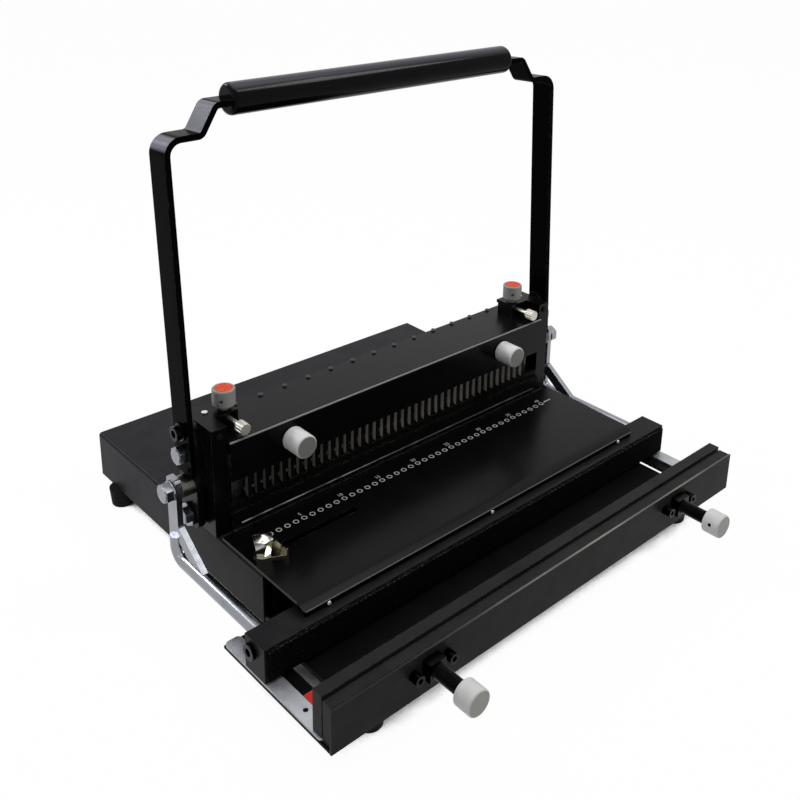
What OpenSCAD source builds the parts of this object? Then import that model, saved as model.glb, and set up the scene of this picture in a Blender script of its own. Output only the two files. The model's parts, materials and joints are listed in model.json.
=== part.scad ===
// Desk machine that punches a row of square holes and closes double loop wire.
// Millimetres, +Z up, -Y towards the operator, feet on z = 0.

/* [Body] */
// Width of the body box, side to side
body_w = 394; // [388:1:400]
// Depth of the body box behind its front edge
body_d = 276; // [266:0.5:290]
// Height of the body shell above the base plate
body_h = 37.3; // [36.5:0.1:40]
// Height of the rubber feet
foot_h = 22; // [18:0.5:26]
// Diameter of the rubber feet at the top
foot_d = 23; // [18:0.5:26]
// Thickness of the sheet table
table_t = 2.5; // [2:0.1:3]

/* [Punch] */
// Number of punch pins
pins = 40; // [24:1:40]
// Pitch of the punch pins, three to the inch
pitch = 8.4667; // [8:0.0001:8.5]
// Side of the square punch pins
pin_s = 4; // [3:0.1:4.4]
// Height of the paper slot
slot_h = 2.2; // [1.6:0.1:3]
// Height of the end plates above the body
end_h = 96.7; // [94:0.1:104]

/* [Handle] */
// Height of the crossbar above the shaft
bar_rise = 332; // [300:1:360]
// Backward lean of the handle at rest, degrees
lean = 2.8; // [0:0.1:4]
// Width of the flat handle bar
arm_w = 23; // [20:0.5:24]
// Thickness of the flat handle bar
arm_t = 5; // [4:0.5:6]
// Least wall of the hand grip around the bar
grip_wall = 0.7; // [0.5:0.1:3]
// Length of the hand grip
grip_l = 304; // [260:2:316]

/* [Closer] */
// Open gap between the moving beam and the jaw
jaw_gap = 54.3; // [48:0.1:58]
// Depth of the moving beam, front to back
beam_w = 24.5; // [22:0.5:28]
// Height of the moving beam
beam_h = 29; // [28:0.5:31]
// Diameter of the link rods
rod_d = 12; // [10:0.5:13]

/* [Adjusters] */
// Diameter of the adjuster knobs
knob_d = 21; // [16:0.5:26]
// Length of the adjuster knobs
knob_l = 16; // [12:0.5:20]
// Diameter of the adjuster spindles
spindle_d = 12; // [10:0.5:13]
// Diameter of the knobs on the cover front
pull_d = 20.5; // [16:0.5:24]
// Diameter of the two lock knobs
lock_d = 19; // [16:0.5:22]

/* [Hidden] */
$fn = 48;
// Running clearance on radius, sliding clearance, hair gap
run = 0.05;
glide = 0.1;
hair = 0.3;

// Heights
base_t = 2.5;
z_base = foot_h;
z_skirt = foot_h - 5;
z_floor = foot_h + base_t;
z_body = z_floor + body_h;
z_table = z_body + table_t;
z_slot = z_table + slot_h;
z_rail = z_slot + 13.5;
z_guide = z_slot + 19.5;
z_cover = z_body + 83.2;
z_lip = z_cover - 35.7;
z_end = z_body + end_h;

// Sheet and plate thicknesses
sheet = 2;
cover_t = 1.5;
end_t = 14;

// Positions across the machine
half = body_w/2;
end_out = half + 2;
end_in = end_out - end_t;
crank_in = end_out + 2.5;
crank_t = 6;
arm_in = crank_in + crank_t;
arm_out = arm_in + arm_t;
link_t = 5;
link_in = arm_out + 7;
link_out = link_in + link_t;
rod_x = link_in + link_t/2;
beam_x = rod_x + 15.5;
wide = beam_x;
jaw_x = wide - 1.5;

// Positions front to back
y_front = -44.5;
y_rear = y_front + body_d;
y_pin = 21.4;
y_die0 = 13;
y_die1 = 26.6;
y_cov0 = 14.5;
y_end0 = 18.5;
y_end1 = 66;
y_shaft = 44;
z_shaft = z_table + 11.7;
beam_r = -81.5;
beam_f = beam_r - beam_w;
jaw_t = 10;
jaw_r = beam_f - jaw_gap;
jaw_f = jaw_r - jaw_t;
bar_r = jaw_f - 1.2;
bar_t = 9;
bar_f = bar_r - bar_t;
plate_f = bar_f - sheet;

// Closer heights and the guide slots beside its floor
slide_t = 2;
z_slide = z_floor + slide_t;
z_beam0 = z_slide + glide;
z_beam1 = z_beam0 + beam_h;
z_jaw = z_beam1 + 5.5;
z_bar1 = z_beam1 + 3;
z_plate = z_beam1 + 2.6;
slot_x0 = half + 7;
slot_x1 = half + 15;
slot_y0 = jaw_r + 27.5;
slot_y1 = beam_r + 8;
z_rod = z_beam0 + 18.4;
y_eye = beam_r - 8;
eye_d = 8;

// Handle linkage
y_stud = 40;
z_stud = z_shaft + 30.5;
bolt_d = 10;
neck_d = 4.4;
stud_free = 2.6;
link_w = 14.5;
turn_r = 12;
z_arm0 = z_stud + 11;
z_boltb = z_shaft + 78;
z_boltz = z_shaft + 58.6;
y_arm = 41;
z_armc = z_shaft + 69;
shaft_d = 14;

// Gear and rack
mod = 1.5;
teeth = 16;
r_gear = mod*teeth/2;
slack = 0.2;
gear_x0 = end_in - 19;
gear_x1 = end_in - 7;
y_rack = y_shaft - r_gear;

// Punch row
row = (pins - 1)*pitch;
beam_z0 = z_lip + 1.2;
beam_z1 = beam_z0 + 11;
tip_z = z_slot + 4.5;

// Small hardware
lock_x = end_in - 14;
lock_y = 44.3;
lock_y0 = y_end0 + 18;
lock_y1 = y_end1 - 8;
lock_t = 3;
lock_h = 18.2;
lock_rim = 2;
z_lock = z_end + 0.6;
stem_d = 8;
z_lock_screw = z_end - 6;
y_lock_tip = lock_y - stem_d/2 - 0.2;
lock_pin_x = end_in + 2;
lock_pin_y = 48;
adj_x = half - 47.4;
adj_z = z_floor + 20;
adj_side = 16.3;
adj_screw = 5;
pull_x = end_in - 59;
pull_l = 21;
pull_stem = 5;
z_pull = z_lip + 18.7;
guide_x = -half + 13;
guide_y = -26;
pin_d = 2;

// Box between two corners
module bx(x0, x1, y0, y1, z0, z1) {
    translate([x0, y0, z0]) cube([x1 - x0, y1 - y0, z1 - z0]);
}

// Round bar along X, Y or Z
module rx(x0, x1, y, z, d, n = 48) {
    translate([x0, y, z]) rotate([0, 90, 0]) cylinder(h = x1 - x0, d = d, $fn = n);
}
module ry(x, y0, y1, z, d, n = 48) {
    translate([x, y1, z]) rotate([90, 0, 0]) cylinder(h = y1 - y0, d = d, $fn = n);
}
module rz(x, y, z0, z1, d, n = 48) {
    translate([x, y, z0]) cylinder(h = z1 - z0, d = d, $fn = n);
}

// Hexagon along X, across flats af
module hexx(x0, x1, y, z, af) {
    translate([x0, y, z]) rotate([0, 90, 0]) cylinder(h = x1 - x0, d = af/cos(30), $fn = 6);
}

// A flat outline in Y and Z, thick along X
module side(x0, x1) {
    translate([x0, 0, 0]) rotate([90, 0, 90]) linear_extrude(x1 - x0) children();
}

// A flat outline in X and Z, thick along Y
module face(y0, y1) {
    translate([0, y1, 0]) rotate([90, 0, 0]) linear_extrude(y1 - y0) children();
}

// The same piece on both sides
module both() {
    children();
    mirror([1, 0, 0]) children();
}

// Rectangle with four round corners
module round_rect(x0, x1, y0, y1, r) {
    translate([x0 + r, y0]) square([x1 - x0 - 2*r, y1 - y0]);
    translate([x0, y0 + r]) square([x1 - x0, y1 - y0 - 2*r]);
    for (x = [x0 + r, x1 - r], y = [y0 + r, y1 - r]) translate([x, y]) circle(r);
}

// Outline with round top corners
module tunnel(w, z0, z1, r) {
    translate([-w/2, z0]) square([w, z1 - z0 - r]);
    translate([-w/2 + r, z0]) square([w - 2*r, z1 - z0]);
    for (s = [-1, 1]) translate([s*(w/2 - r), z1 - r]) circle(r);
}

// Knob turned about Z with rounded rims, base at z = 0
module turned(d, h, r) {
    rotate_extrude($fn = 64) {
        square([d/2 - r, h]);
        translate([0, r]) square([d/2, h - 2*r]);
        translate([d/2 - r, r]) circle(r);
        translate([d/2 - r, h - r]) circle(r);
    }
}

// Square openings for the pin row
module pin_holes(z0, z1, s) {
    for (i = [0 : pins - 1]) {
        bx(-row/2 + i*pitch - s/2, -row/2 + i*pitch + s/2, y_pin - s/2, y_pin + s/2, z0, z1);
    }
}

// Gear tooth half angle at radius r
function inv_deg(a) = tan(a)*180/PI - a;
r_base = r_gear*cos(20);
function half_deg(r) = 90/teeth + inv_deg(20) - inv_deg(acos(min(1, r_base/r))) - slack/2/r*90/PI;
function polar(r, a) = [r*cos(a), r*sin(a)];
r_foot = r_gear - 1.25*mod;
r_tip = r_gear + mod;
function tooth(c) = [
    polar(r_foot, c - half_deg(r_base)), polar(r_base, c - half_deg(r_base)),
    polar(r_gear, c - half_deg(r_gear)), polar(r_gear + 0.8, c - half_deg(r_gear + 0.8)),
    polar(r_tip, c - half_deg(r_tip)), polar(r_tip, c + half_deg(r_tip)),
    polar(r_gear + 0.8, c + half_deg(r_gear + 0.8)), polar(r_gear, c + half_deg(r_gear)),
    polar(r_base, c + half_deg(r_base)), polar(r_foot, c + half_deg(r_base))];

module gear_outline() {
    polygon([for (k = [0 : teeth - 1]) each tooth(180 + (k + 0.5)*360/teeth)]);
}

// Rack tooth, pointing to the rear, in Y and Z
rack_p = PI*mod;
function rack_tooth(c) = [
    [y_rack - 1.25*mod, c - rack_p/4 + slack/2 - 1.25*mod*tan(20)],
    [y_rack + mod, c - rack_p/4 + slack/2 + mod*tan(20)],
    [y_rack + mod, c + rack_p/4 - slack/2 - mod*tan(20)],
    [y_rack - 1.25*mod, c + rack_p/4 - slack/2 + 1.25*mod*tan(20)]];

module base_plate() {
    color("#232428") difference() {
        union() {
            bx(-half + sheet, half - sheet, y_front - 14, y_rear - sheet, z_base, z_floor);
            bx(-wide, wide, bar_f, y_front - 7, z_base, z_floor);
        }
        both() bx(slot_x0, slot_x1, slot_y0, slot_y1, z_base - 1, z_floor + 1);
    }
}

module body_shell() {
    wall_x = half - sheet;
    // Corner flanges over the rear feet
    color("#26272b") both() bx(half - 24, wall_x + 0.5, y_rear - 46, y_rear - 1, z_skirt, z_skirt + sheet);
    color("#26272b") difference() {
        face(y_front, y_rear) tunnel(body_w, z_skirt, z_body, 3);
        face(y_front + sheet, y_rear - sheet) tunnel(2*wall_x, z_skirt - 1, z_body - sheet, 1);
        // Way for the base plate under the front wall
        bx(-wall_x, wall_x, y_front - 1, y_front + sheet + 1, z_skirt - 1, z_floor);
        // Open strips beside the front wall
        both() bx(half - 10, wall_x, y_front - 1, y_front + sheet + 1, z_floor - 1, z_body - sheet - 4);
        // Window for the die and the racks
        bx(-end_in + 2, end_in - 2, y_die0 + 4, y_die1 + 0.6, z_body - 5, z_body + 1);
        both() bx(gear_x0 - 1.5, gear_x1 + 1.5, y_die1 - 1, y_rack + 4, z_body - 5, z_body + 1);
        // Window for the head of the guide bolt
        bx(guide_x - 7, guide_x + 102, guide_y - 8, guide_y + 8, z_body - 5, z_body + 1);
        // Drawer opening in the rear wall
        bx(-half + 26.5, half - 26.5, y_rear - 5, y_rear + 1, z_floor - 1, z_body - 9.5);
    }
}

module rubber_feet() {
    color("#141414") both() {
        rubber_foot(half - 10.5, plate_f + 22.5, z_base);
        rubber_foot(half - 4.5, y_rear - 31, z_skirt);
    }
}
module rubber_foot(x, y, h) {
    translate([x, y, 0]) cylinder(h = h, d1 = foot_d - 3, d2 = foot_d);
}

module chip_drawer() {
    color("#2c2d31") difference() {
        union() {
            bx(-half + 28, half - 28, 4, y_rear - 1, z_floor + glide, z_body - 12);
            bx(-half + 27, half - 27, y_rear - sheet, y_rear, z_floor + glide, z_body - 10);
        }
        bx(-half + 29.5, half - 29.5, 5.5, y_rear - 2.5, z_floor + glide + 1.5, z_body);
        ry(0, y_rear - 9, y_rear + 1, z_floor + 16, 22);
    }
}

// Table outline in Y and Z with a sloped lip and a short flange
lip_y = y_front - 43.5;
lip_d = 10;
module table_plate() {
    color("#222327") difference() {
        intersection() {
            side(-half + 0.4, half - 0.4) polygon([
                [y_die0 - hair, z_body], [y_die0 - hair, z_table], [lip_y, z_table],
                [lip_y - lip_d, z_table - 4.2], [lip_y - lip_d, z_table - 8],
                [lip_y - lip_d + 2, z_table - 8], [lip_y - lip_d + 2, z_table - 5.6],
                [lip_y + 0.6, z_body]]);
            translate([0, 0, z_body - 20]) linear_extrude(60)
                round_rect(-half + 0.4, half - 0.4, lip_y - lip_d, y_die0 + 30, 2.5);
        }
        bx(guide_x - 2.8, guide_x + 94, guide_y - 2.8, guide_y + 2.8, z_body - 1, z_table + 1);
        for (s = [-1, 1]) ry(s*lip_pin_x, lip_y - lip_d - 1, lip_y - lip_d + 4, z_lip_pin, pin_d);
    }
}

// Small bright screw, head upward
module small_screw(d) {
    turned(d, 1.2, 0.4);
    translate([0, 0, -3.5]) cylinder(h = 3.7, d = pin_d);
}
lip_pin_x = half - 22.5;
z_lip_pin = z_table - 6.3;
module small_screws() {
    color("#d8d8d6") for (s = [-1, 1]) {
        translate([s*lip_pin_x, lip_y - lip_d, z_lip_pin]) rotate([90, 0, 0]) small_screw(3.2);
        translate([s*lock_pin_x, lock_pin_y, z_end]) small_screw(5);
    }
}

// Paper stop: an eye around the bolt, widening to an upturned tab
tab_x = guide_x + 12.2;
tab_y = guide_y - 15;
tab_w = 21;
stop_t = 1.5;
eye_r = 8;
module edge_guide() {
    color("#b59a55") difference() {
        union() {
            translate([0, 0, z_table]) linear_extrude(stop_t) union() {
                translate([guide_x, guide_y]) circle(eye_r);
                polygon([[guide_x, guide_y - eye_r], [tab_x + stop_t, tab_y],
                    [tab_x + stop_t, tab_y + tab_w], [guide_x, guide_y + eye_r]]);
            }
            bx(tab_x, tab_x + stop_t, tab_y, tab_y + tab_w, z_table, z_table + 7.2);
        }
        rz(guide_x, guide_y, z_table - 1, z_table + 4, 5.2);
    }
}

module guide_bolt() {
    color("#c9cacc") {
        rz(guide_x, guide_y, z_body - 4, z_body - glide, 10, 6);
        rz(guide_x, guide_y, z_body - 0.2, z_table + 15, 5);
    }
}

module guide_nut() {
    color("#e2e4e6") difference() {
        translate([guide_x, guide_y, z_table + stop_t + glide]) rotate([0, 0, 8]) {
            cylinder(h = 14, d1 = 12.5, d2 = 17.5, $fn = 6);
            translate([0, 0, 14]) cylinder(h = 3, d1 = 17.5, d2 = 3, $fn = 6);
        }
        rz(guide_x, guide_y, z_table, z_table + 15.3, 5 + 2*run);
    }
}

module end_plate() {
    difference() {
        side(end_in, end_out) polygon([
            [y_end0, z_body], [y_end1, z_body], [y_end1, z_end - lock_t], [lock_y0, z_end - lock_t],
            [lock_y0, z_end], [y_end0, z_end]]);
        rx(end_in - 1, end_out + 1, y_shaft, z_shaft, 20);
        ry(end_in + end_t/2, y_end0 - 1, y_end0 + 6, z_end - 6.5, 3);
        rz(lock_pin_x, lock_pin_y, z_end - 4, z_end, pin_d);
    }
}
module end_plate_left() {
    color("#212226") mirror([1, 0, 0]) end_plate();
}
module end_plate_right() {
    color("#212226") end_plate();
}

module rear_wall() {
    color("#242529") difference() {
        union() {
            bx(-end_out, end_out, y_end1, y_end1 + cover_t, z_body, z_cover - cover_t);
            bx(-end_in + hair, end_in - hair, y_end1 - 9, y_end1 + 1,
                z_cover - 2*cover_t, z_cover - cover_t);
        }
        screw_row(z_cover - 5, z_cover, pin_d);
    }
}

// Every third pin of the row has a screw behind it, at the cover's rear edge
module screw_row(z0, z1, d) {
    for (i = [2 : 3 : pins - 1]) rz(-row/2 + i*pitch, y_screw, z0, z1, d, 24);
}
y_screw = y_end1 + cover_t - 2.3;

module top_cover() {
    fold = 2;
    back = y_end1 + cover_t;
    color("#2b2c30") difference() {
        side(-end_in + 0.2, end_in - 0.2) difference() {
            union() {
                translate([y_cov0, z_lip]) square([2*fold, z_cover - z_lip - fold]);
                translate([y_cov0 + fold, z_lip]) square([back - y_cov0 - fold, z_cover - z_lip]);
                translate([y_cov0 + fold, z_cover - fold]) circle(fold);
            }
            translate([y_cov0 + cover_t, z_lip - 1]) square([back, z_cover - z_lip + 1 - cover_t]);
        }
        for (s = [-1, 1]) ry(s*pull_x, y_cov0 - 1, y_cov0 + 3, z_pull, pull_stem + 1);
        screw_row(z_cover - 3, z_cover + 1, pin_d);
    }
}

module cover_screws() {
    color("#1b1b1d") {
        screw_row(z_cover, z_cover + 1.8, 4);
        screw_row(z_cover - 2.8, z_cover + 0.2, pin_d);
        for (s = [-1, 1]) translate([s*(end_in + end_t/2), y_end0, z_end - 6.5]) rotate([90, 0, 0]) {
            cylinder(h = 1.6, d = 5.6, $fn = 24);
            translate([0, 0, -5]) cylinder(h = 5.2, d = 3, $fn = 24);
        }
    }
}

module cover_rail() {
    color("#85888c") difference() {
        bx(-end_in, end_in, y_cov0 + cover_t, y_cov0 + 2*pull_stem, z_pull - pull_stem, z_pull + 6);
        for (s = [-1, 1]) ry(s*pull_x, y_cov0, y_end0 + 11, z_pull, pull_stem + 2*run);
    }
}

module cover_knob(s) {
    color("#e6e6e2") translate([s*pull_x, y_cov0 - hair, z_pull]) rotate([90, 0, 0]) {
        turned(pull_d, pull_l, 1.6);
        translate([0, 0, -9]) cylinder(h = 9.5, d = pull_stem);
    }
}
module cover_knob_left() {
    cover_knob(-1);
}
module cover_knob_right() {
    cover_knob(1);
}

module lock_bracket() {
    difference() {
        union() {
            bx(lock_in, end_out, lock_y0, lock_y1, z_end - lock_t, z_end);
            bx(lock_in, lock_in + 3.5, lock_y0, lock_y1 - 2, z_cover, z_end - 2);
            bx(lock_in + 3, end_in, lock_y0 + 1.5, lock_y1 - 2, z_cover, z_end - 2);
        }
        rz(lock_x, lock_y, z_end - 9, z_end + 1, stem_d + 2*run);
        ry(lock_x, lock_y0 - 1, lock_y, z_lock_screw, 4 + 2*run);
        rz(lock_pin_x, lock_pin_y, z_end - 4, z_end + 1, pin_d);
    }
}
lock_in = end_in - 22;
module lock_brackets() {
    color("#1f2023") both() lock_bracket();
}

module lock_knob(s) {
    color("#b9b9b5") difference() {
        translate([s*lock_x, lock_y, z_lock]) {
            rotate_extrude($fn = 64) polygon([[0, 1], [lock_d/2 - 4, 1], [lock_d/2, 4.5],
                [lock_d/2, lock_h - 0.8], [lock_d/2 - 0.8, lock_h], [0, lock_h]]);
            translate([0, 0, -8]) cylinder(h = 10, d = stem_d);
        }
        rz(s*lock_x, lock_y, z_lock + lock_h - 1, z_lock + lock_h + 1, lock_d - 2*lock_rim);
        translate([s*lock_x, lock_y, z_lock + 10]) rotate([0, 90, 226])
            translate([0, 0, 6]) cylinder(h = 15, d = 3);
    }
}
module lock_knob_left() {
    lock_knob(-1);
}
module lock_knob_right() {
    lock_knob(1);
}
module lock_cap(s) {
    color("#d8503a")
        rz(s*lock_x, lock_y, z_lock + lock_h - 1, z_lock + lock_h + 0.2, lock_d - 2*lock_rim - 2*run, 64);
}
module lock_cap_left() {
    lock_cap(-1);
}
module lock_cap_right() {
    lock_cap(1);
}

module lock_screw(s) {
    head_d = 10;
    head_h = 9;
    neck = 18.1;
    color("#c8c8c2") translate([s*lock_x, y_lock_tip, z_lock_screw]) rotate([90, 0, 0]) {
        cylinder(h = neck + 1, d = 4);
        translate([0, 0, neck]) difference() {
            cylinder(h = head_h, d = head_d);
            for (a = [0 : 30 : 330]) rotate([0, 0, a])
                translate([head_d/2 + 0.3, 0, 1]) cylinder(h = head_h, d = 1.8, $fn = 24);
        }
    }
}
module lock_screw_left() {
    lock_screw(-1);
}
module lock_screw_right() {
    lock_screw(1);
}

module die_plate() {
    color("#8d9094") difference() {
        union() {
            bx(-end_in, end_in, y_die0, y_die1, z_body, z_table);
            bx(-end_in + 2.5, end_in - 2.5, y_die0 + 4.4, y_die1, z_body - 8, z_table);
        }
        pin_holes(z_body - 9, z_table + 1, pin_s + 0.1);
    }
}

module pin_guide() {
    color("#1d1e20") difference() {
        union() {
            bx(-end_in, end_in, y_cov0 + 1, y_die1, z_slot, z_rail);
            bx(-end_in, end_in, y_cov0 + 4, y_die1, z_slot, z_guide);
            both() bx(end_in - 9, end_in, y_cov0 + 1, y_die1, z_table, z_slot + 1);
        }
        pin_holes(z_slot - 1, z_guide + 1, pin_s + 0.1);
    }
}

module throat_strip() {
    color("#c3c6c9") side(-end_in + 8, end_in - 8) polygon([
        [y_cov0 + 1, z_slot + 0.6], [y_cov0 + 1, z_slot + 2.4], [y_cov0 + 0.2, z_slot + 2.4],
        [y_cov0 - 0.3, z_slot + 1.8], [y_cov0 - 0.3, z_slot + 1.2]]);
}

module punch_pins() {
    color("#a9abad") pin_holes(tip_z, beam_z1 - 2, pin_s);
}

module punch_beam() {
    color("#6f7276") difference() {
        bx(-end_in + 0.4, end_in - 0.4, y_cov0 + 3, y_rack - 5, beam_z0, beam_z1);
        pin_holes(beam_z0 - 1, beam_z1 - 2, pin_s);
    }
}

module drive_racks() {
    rk0 = z_shaft - 11.5;
    color("#7d8084") both() side(gear_x0, gear_x1) {
        translate([y_rack - 5, rk0]) square([5 - 1.25*mod + 0.01, beam_z1 - rk0]);
        for (k = [-2 : 4]) polygon(rack_tooth(z_shaft + k*rack_p));
    }
}

module drive_shaft() {
    color("#9a9da0") difference() {
        rx(-arm_in - 1, arm_in + 1, y_shaft, z_shaft, shaft_d);
        for (s = [-1, 1]) rx(s*(arm_in + 2) - 16, s*(arm_in + 2) + 16, y_shaft, z_shaft, 8);
    }
}

module drive_pinions() {
    color("#83868a") both() difference() {
        translate([0, y_shaft, z_shaft]) side(gear_x0, gear_x1) gear_outline();
        rx(gear_x0 - 1, gear_x1 + 1, y_shaft, z_shaft, shaft_d);
    }
}

module shaft_bushings() {
    color("#a98750") both() difference() {
        union() {
            rx(end_in, end_out + 0.5, y_shaft, z_shaft, 20);
            rx(end_out, crank_in - glide, y_shaft, z_shaft, 25);
        }
        rx(end_in - 1, crank_in, y_shaft, z_shaft, shaft_d + 2*run);
    }
}

module crank_plate() {
    difference() {
        side(crank_in, arm_in) union() {
            polygon([[y_shaft - 14, z_shaft - 6], [y_shaft - 10, z_shaft - 10],
                [y_shaft + 8, z_shaft - 10], [y_shaft + 12, z_shaft - 6], [y_shaft + 12, z_boltz + 6],
                [y_arm + 8, z_boltb], [y_arm - 7, z_boltb], [y_shaft - 14, z_boltz + 6]]);
            translate([y_arm + 0.5, z_boltb]) circle(7.5);
        }
        rx(crank_in - 1, arm_in + 1, y_shaft, z_shaft, shaft_d);
        rx(crank_in - 1, arm_in + 1, y_stud, z_stud, bolt_d);
        rx(crank_in - 1, arm_in + 1, y_arm - 0.5, z_boltz, bolt_d);
        rx(crank_in - 1, arm_in + 1, y_arm + 0.5, z_boltb, bolt_d);
    }
}
module crank_plates() {
    color("#18191b") both() crank_plate();
}

// Handle bar in its own plane, which leans back about the arm bolts
z_flat = z_shaft + bar_rise - 21;
z_bar = z_shaft + bar_rise;
bend_r = 12;
ess = 57;
ess_r = 6;
x_flat = arm_out - arm_t/2 - bend_r - 14;
x_bar = x_flat - (z_bar - z_flat - 2*ess_r*(1 - cos(ess)))/tan(ess) - 2*ess_r*sin(ess);
grip_rise = 1.2;
grip_d = 2*(sqrt(pow(arm_w/2, 2) + pow(arm_t/2 + grip_rise, 2)) + grip_wall);
module lean_back() {
    translate([0, y_arm, z_armc]) rotate([-lean, 0, 0]) translate([0, -y_arm, -z_armc]) children();
}

// Points on an arc in X and Z
function arc(x, z, r, a0, a1) = [
    for (i = [0 : 12]) let (a = a0 + (a1 - a0)*i/12) [x + r*cos(a), z + r*sin(a)]];
function flip(v) = [for (i = [len(v) - 1 : -1 : 0]) [-v[i][0], v[i][1]]];

// One edge of the bent bar, foot of the right arm to the crossbar, t outside the middle line
function bar_edge(t) = concat(
    [[arm_in + arm_t/2 + t, z_arm0]],
    arc(arm_in + arm_t/2 - bend_r, z_flat - bend_r, bend_r + t, 0, 90),
    arc(x_flat, z_flat + ess_r, ess_r - t, 270, 270 - ess),
    arc(x_bar, z_bar - ess_r, ess_r + t, 90 - ess, 90));
module handle_bar() {
    color("#1c1d1f") difference() {
        lean_back() face(y_arm - arm_w/2, y_arm + arm_w/2) difference() {
            polygon(concat(bar_edge(arm_t/2), flip(bar_edge(arm_t/2))));
            polygon(concat(bar_edge(-arm_t/2), flip(bar_edge(-arm_t/2))));
        }
        both() rx(arm_in - 1, arm_out + 1, y_arm - 0.5, z_boltz, bolt_d);
        both() rx(arm_in - 1, arm_out + 1, y_arm + 0.5, z_boltb, bolt_d);
    }
}

module hand_grip() {
    color("#17181a") lean_back() difference() {
        translate([-grip_l/2, y_arm, z_bar + grip_rise]) rotate([0, 90, 0]) turned(grip_d, grip_l, 4);
        bx(-grip_l, grip_l, y_arm - arm_w/2, y_arm + arm_w/2, z_bar - arm_t/2, z_bar + arm_t/2);
    }
}

module arm_cap_screws() {
    color("#121214") both() difference() {
        union() {
            rx(crank_in, arm_out, y_arm + 0.5, z_boltb, bolt_d);
            rx(arm_out, arm_out + 1.5, y_arm + 0.5, z_boltb, 15);
            rx(arm_out + 1, arm_out + 6.5, y_arm + 0.5, z_boltb, 12);
        }
        hexx(arm_out + 2.5, arm_out + 7, y_arm + 0.5, z_boltb, 6);
    }
}

module arm_bolts() {
    color("#cfd1d3") both() {
        rx(crank_in, arm_out, y_arm - 0.5, z_boltz, bolt_d);
        hexx(arm_out, arm_out + 6, y_arm - 0.5, z_boltz, 14);
        rx(arm_out + 5.5, arm_out + 6.8, y_arm - 0.5, z_boltz, 13);
    }
}

module pivot_bolts() {
    color("#cfd1d3") both() {
        rx(arm_in - 14, arm_in + 2.5, y_shaft, z_shaft, 8);
        hexx(arm_in + 1, arm_in + 3, y_shaft, z_shaft, 19);
        hexx(arm_in + 2.5, arm_in + 6.5, y_shaft, z_shaft, 13);
        rx(arm_in + 6, arm_in + 7, y_shaft, z_shaft, 12);
    }
}

// Washers outside the links
link_face = link_out + hair;
washer_t = 1.5;
module plain_washers() {
    color("#c4c6c8") both() difference() {
        rx(link_face, link_face + washer_t, y_stud, z_stud, 17);
        rx(link_out, link_out + 4, y_stud, z_stud, neck_d);
    }
}

module link_spacers() {
    color("#b4b8bc") both() difference() {
        rx(arm_in, link_in - hair, y_stud, z_stud, 18);
        rx(arm_in - 1, link_in, y_stud, z_stud, bolt_d);
    }
}

module link_bolts() {
    color("#cfd1d3") both() {
        rx(crank_in, link_in - hair, y_stud, z_stud, bolt_d);
        rx(link_in - 1, link_face + washer_t + 1, y_stud, z_stud, neck_d);
        hexx(link_face + washer_t, link_face + washer_t + 6, y_stud, z_stud, 15);
        rx(link_face + washer_t + 5.5, link_face + washer_t + 7, y_stud, z_stud, 14);
    }
}

// Rod bent upright and flattened, with a welded brace across the bend
module link() {
    turn_y = y_stud - turn_r;
    turn_z = z_rod + turn_r;
    difference() {
        union() {
            side(link_in, link_out) union() {
                translate([y_stud - link_w/2, turn_z]) square([link_w, z_stud + 8 - turn_z]);
                translate([y_stud - link_w/2 + 3, turn_z]) square([link_w - 6, z_stud + 11 - turn_z]);
                translate([y_stud - link_w/2 + 3, z_stud + 8]) circle(3);
                translate([y_stud + link_w/2 - 3, z_stud + 8]) circle(3);
                polygon([[y_stud - 6, z_rod + 18.5], [y_stud - 6, z_rod + 30.5],
                    [y_stud - 8.5, z_rod + 30.5], [y_stud - 42, z_rod + 6],
                    [y_stud - 42, z_rod + 2], [y_stud - 29, z_rod + 2]]);
            }
            rz(rod_x, y_stud, turn_z, turn_z + 8, rod_d);
            intersection() {
                translate([rod_x, turn_y, turn_z]) rotate([0, 90, 0])
                    rotate_extrude() translate([turn_r, 0]) circle(d = rod_d);
                bx(rod_x - rod_d, rod_x + rod_d, turn_y, y_stud + rod_d, z_rod - rod_d, turn_z);
            }
            ry(rod_x, y_eye - 6.5, turn_y, z_rod, rod_d);
        }
        rx(link_in - 9, link_out + 9, y_eye, z_rod, eye_d + 2*run);
        rx(link_in - 1, link_out + 1, y_stud, z_stud, neck_d + 2*stud_free);
    }
}
module link_left() {
    color("#c6c9cc") mirror([1, 0, 0]) link();
}
module link_right() {
    color("#c6c9cc") link();
}

module closing_beam() {
    wall = 3;
    color("#27282c") difference() {
        bx(-beam_x, beam_x, beam_f, beam_r, z_beam0, z_beam1);
        bx(-rod_x + 18, rod_x - 18, beam_f + wall, beam_r - wall, z_beam0 + wall, z_beam1 - wall);
        both() {
            bx(rod_x - 9, beam_x - wall, beam_f + wall, beam_r - wall, z_beam0 + wall, z_beam1 - wall);
            bx(rod_x - rod_d/2 - 1, rod_x + rod_d/2 + 1, beam_r - 4, beam_r + 1,
                z_rod - rod_d/2 - 2.5, z_rod + rod_d/2 + 1.6);
            rx(rod_x - 18, beam_x + 1, y_eye, z_rod, eye_d);
            bx(20, 60, beam_r - 4, beam_r + 1, z_beam0 + 8, z_beam1 - 8);
        }
    }
}

module beam_strip() {
    color("#34353a") bx(-beam_x + 3, beam_x - 3, beam_f - 3, beam_f, z_beam0 + 3, z_beam1 - 1);
}

pin_head = 3;
module beam_pins() {
    color("#131315") both() difference() {
        union() {
            rx(rod_x - 18, beam_x, y_eye, z_rod, eye_d);
            rx(beam_x, beam_x + pin_head, y_eye, z_rod, 13);
        }
        hexx(beam_x - 2, beam_x + pin_head + 1, y_eye, z_rod, 6);
    }
}

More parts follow.
